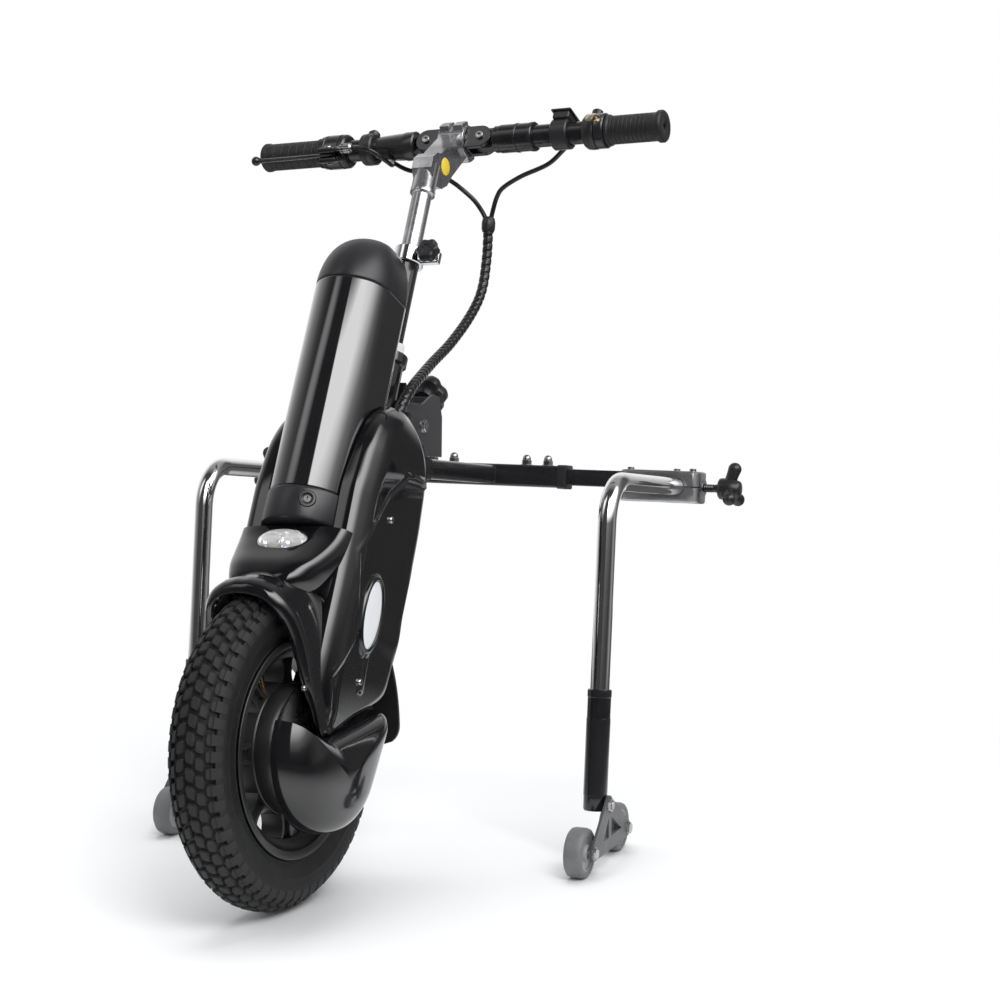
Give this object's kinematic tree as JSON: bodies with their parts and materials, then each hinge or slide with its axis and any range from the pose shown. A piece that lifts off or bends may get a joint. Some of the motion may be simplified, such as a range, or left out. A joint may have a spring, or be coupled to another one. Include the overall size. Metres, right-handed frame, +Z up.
{
  "type": "wheelchair drive unit",
  "caption": "Clamp-on electric front-wheel drive unit for a wheelchair: spoked hub-motor wheel in a moulded shell with battery, steering bar, tilting arm, tube clamps and caster stand legs.",
  "frame": {"origin": "centre of the object's footprint on the floor", "axes": "+Z up, -Y the way it drives, +X the rider's left"},
  "size_m": [0.6268, 0.753, 0.8075],
  "materials": {
    "tyre": "matte black rubber with block tread",
    "rim": "black paint on cast aluminium",
    "brass": "turned brass",
    "steel": "plated steel",
    "chrome": "bright chrome plate",
    "forged_aluminium": "forged and polished",
    "cast_aluminium": "satin",
    "grey_metal": "dark grey paint",
    "black_paint": "black powder coat",
    "gloss_black": "gloss black moulding",
    "battery_black": "gloss black case",
    "black_plastic": "matte black moulding",
    "dark_plastic": "dark grey moulding",
    "rubber": "soft black rubber",
    "grey_rubber": "grey polyurethane",
    "cable": "black spiral wrap and lead",
    "clear_lens": "clear lens",
    "button": "red push button"
  },
  "bodies": {
    "rear_frame": {"cross_frame": "black_paint", "tilt_bracket": "grey_metal", "pivot_bolt": "steel"},
    "tilt_knob": {"tilt_knob": "black_plastic"},
    "head": {"head_tube": "black_paint"},
    "front_fork": {"fork": "black_paint", "axle": "steel", "brake_caliper": "black_paint", "mud_flap": "black_plastic", "headset_nut": "steel", "shell": "gloss_black", "headlight_lens": "clear_lens", "headlight_reflector": "chrome", "hub_cover": "gloss_black", "stem_collar": "chrome", "cable_bundle": "cable"},
    "wheel": {"tyre": "tyre", "cast_wheel": "rim", "motor_cover": "rim", "tyre_valve": "brass", "brake_disc": "steel"},
    "battery": {"battery_body": "battery_black", "battery_base": "dark_plastic", "battery_cap": "dark_plastic"},
    "battery_lock": {"battery_lock": "steel"},
    "stem_knob": {"stem_knob": "dark_plastic"},
    "bars": {"stem": "forged_aluminium", "stem_cap": "forged_aluminium", "bar_centre": "black_paint", "brake_cable": "cable", "throttle_cable": "cable"},
    "bar_left": {"bar_left": "black_paint", "grip_left": "rubber", "throttle_housing": "black_plastic", "display": "black_plastic"},
    "throttle_paddle": {"throttle_paddle": "chrome"},
    "bar_right": {"bar_right": "black_paint", "grip_right": "rubber", "brake_perch": "black_paint", "switch_housing": "black_plastic"},
    "brake_lever": {"brake_lever": "black_paint"},
    "horn_button": {"horn_button": "button"},
    "clamp_left": {"slide_tube_left": "black_paint", "clamp_block_left": "cast_aluminium", "stand_leg_left": "chrome"},
    "jaw_left": {"clamp_jaw_left": "rubber"},
    "clamp_knob_left": {"clamp_knob_left": "black_plastic"},
    "leg_left": {"leg_sleeve_left": "black_plastic"},
    "bogie_left": {"bogie_plate_left": "grey_metal"},
    "caster_front_left": {"caster_front_left": "grey_rubber"},
    "caster_rear_left": {"caster_rear_left": "grey_rubber"},
    "clamp_right": {"slide_tube_right": "black_paint", "clamp_block_right": "cast_aluminium", "stand_leg_right": "chrome"},
    "jaw_right": {"clamp_jaw_right": "rubber"},
    "clamp_knob_right": {"clamp_knob_right": "black_plastic"},
    "leg_right": {"leg_sleeve_right": "black_plastic"},
    "bogie_right": {"bogie_plate_right": "grey_metal"},
    "caster_front_right": {"caster_front_right": "grey_rubber"},
    "caster_rear_right": {"caster_rear_right": "grey_rubber"}
  },
  "joints": [
    {"name": "head_angle", "type": "hinge", "parent": "rear_frame", "child": "head", "pos_m": [0, 0.07897, 0.45308], "axis": [1, 0, 0], "range_deg": [-8, 8]},
    {"name": "tilt_knob_turn", "type": "hinge", "parent": "rear_frame", "child": "tilt_knob", "pos_m": [0, 0.12376, 0.47327], "axis": [0, 0.9272, 0.3746], "range_deg": [0, 1080]},
    {"name": "steering", "type": "hinge", "parent": "head", "child": "front_fork", "pos_m": [0, -0.17288, 0.13422], "axis": [0, 0.4756, 0.8796], "range_deg": [-26.4, 37.6]},
    {"name": "wheel_spin", "type": "hinge", "parent": "front_fork", "child": "wheel", "pos_m": [-0.00517, -0.21928, 0.1593], "axis": [0.9952, -0.0858, 0.0464], "continuous": true},
    {"name": "battery_lift", "type": "slide", "parent": "front_fork", "child": "battery", "axis": [0, 0.4756, 0.8796], "range_m": [0, 0.16]},
    {"name": "battery_lock_turn", "type": "hinge", "parent": "battery", "child": "battery_lock", "pos_m": [0.00857, -0.17435, 0.39898], "axis": [0.3971, -0.8073, 0.4365], "range_deg": [0, 90]},
    {"name": "stem_knob_turn", "type": "hinge", "parent": "front_fork", "child": "stem_knob", "pos_m": [0.03035, 0.0949, 0.63571], "axis": [0.0976, 0.8755, -0.4734], "range_deg": [0, 720]},
    {"name": "stem_height", "type": "slide", "parent": "front_fork", "child": "bars", "axis": [0, 0.4756, 0.8796], "range_m": [-0.055, 0.08]},
    {"name": "bar_fold_left", "type": "hinge", "parent": "bars", "child": "bar_left", "pos_m": [0.03872, 0.22165, 0.76623], "axis": [0.0976, 0.8755, -0.4734], "range_deg": [0, 90]},
    {"name": "bar_fold_right", "type": "hinge", "parent": "bars", "child": "bar_right", "pos_m": [-0.02896, 0.22749, 0.76308], "axis": [-0.0976, -0.8755, 0.4734], "range_deg": [0, 90]},
    {"name": "throttle_turn", "type": "hinge", "parent": "bar_left", "child": "throttle_paddle", "pos_m": [0.00488, 0.22457, 0.76465], "axis": [0.9952, -0.0858, 0.0464], "range_deg": [0, 28], "stiffness_Nm_per_rad": 0.12},
    {"name": "brake_lever_pull", "type": "hinge", "parent": "bar_right", "child": "brake_lever", "pos_m": [-0.14794, 0.20799, 0.7531], "axis": [0.0587, 0.147, -0.9874], "range_deg": [0, 9.5], "stiffness_Nm_per_rad": 2.5, "springref_deg": -5.73},
    {"name": "horn_press", "type": "slide", "parent": "bar_right", "child": "horn_button", "axis": [0, -0.4756, -0.8796], "range_m": [0, 0.0015], "stiffness_N_per_m": 900, "springref_m": -0.001},
    {"name": "width_left", "type": "slide", "parent": "rear_frame", "child": "clamp_left", "axis": [1, 0, 0], "range_m": [-0.028, 0.04]},
    {"name": "jaw_close_left", "type": "slide", "parent": "clamp_left", "child": "jaw_left", "axis": [-1, 0, 0], "range_m": [0, 0.017]},
    {"name": "clamp_knob_turn_left", "type": "hinge", "parent": "jaw_left", "child": "clamp_knob_left", "pos_m": [0.284, 0.34366, 0.36869], "axis": [-1, 0, 0], "range_deg": [0, 4100]},
    {"name": "leg_length_left", "type": "slide", "parent": "clamp_left", "child": "leg_left", "axis": [0, -0.1219, -0.9925], "range_m": [-0.107, 0]},
    {"name": "bogie_rock_left", "type": "hinge", "parent": "leg_left", "child": "bogie_left", "pos_m": [0.239, 0.02942, 0.066], "axis": [1, 0, 0], "range_deg": [-20, 20]},
    {"name": "caster_spin_front_left", "type": "hinge", "parent": "bogie_left", "child": "caster_front_left", "pos_m": [0.239, -0.01958, 0.026], "axis": [1, 0, 0], "continuous": true},
    {"name": "caster_spin_rear_left", "type": "hinge", "parent": "bogie_left", "child": "caster_rear_left", "pos_m": [0.239, 0.09342, 0.026], "axis": [1, 0, 0], "continuous": true},
    {"name": "width_right", "type": "slide", "parent": "rear_frame", "child": "clamp_right", "axis": [-1, 0, 0], "range_m": [-0.028, 0.04]},
    {"name": "jaw_close_right", "type": "slide", "parent": "clamp_right", "child": "jaw_right", "axis": [1, 0, 0], "range_m": [0, 0.017]},
    {"name": "clamp_knob_turn_right", "type": "hinge", "parent": "jaw_right", "child": "clamp_knob_right", "pos_m": [-0.284, 0.34366, 0.36869], "axis": [1, 0, 0], "range_deg": [0, 4100]},
    {"name": "leg_length_right", "type": "slide", "parent": "clamp_right", "child": "leg_right", "axis": [0, -0.1219, -0.9925], "range_m": [-0.107, 0]},
    {"name": "bogie_rock_right", "type": "hinge", "parent": "leg_right", "child": "bogie_right", "pos_m": [-0.239, 0.02942, 0.066], "axis": [1, 0, 0], "range_deg": [-20, 20]},
    {"name": "caster_spin_front_right", "type": "hinge", "parent": "bogie_right", "child": "caster_front_right", "pos_m": [-0.239, -0.01958, 0.026], "axis": [1, 0, 0], "continuous": true},
    {"name": "caster_spin_rear_right", "type": "hinge", "parent": "bogie_right", "child": "caster_rear_right", "pos_m": [-0.239, 0.09342, 0.026], "axis": [1, 0, 0], "continuous": true}
  ],
  "couplings": [
    {"joint": "clamp_knob_turn_left", "follows": "jaw_close_left", "rad_per_m": 4188.8},
    {"joint": "clamp_knob_turn_right", "follows": "jaw_close_right", "rad_per_m": 4188.8}
  ]
}
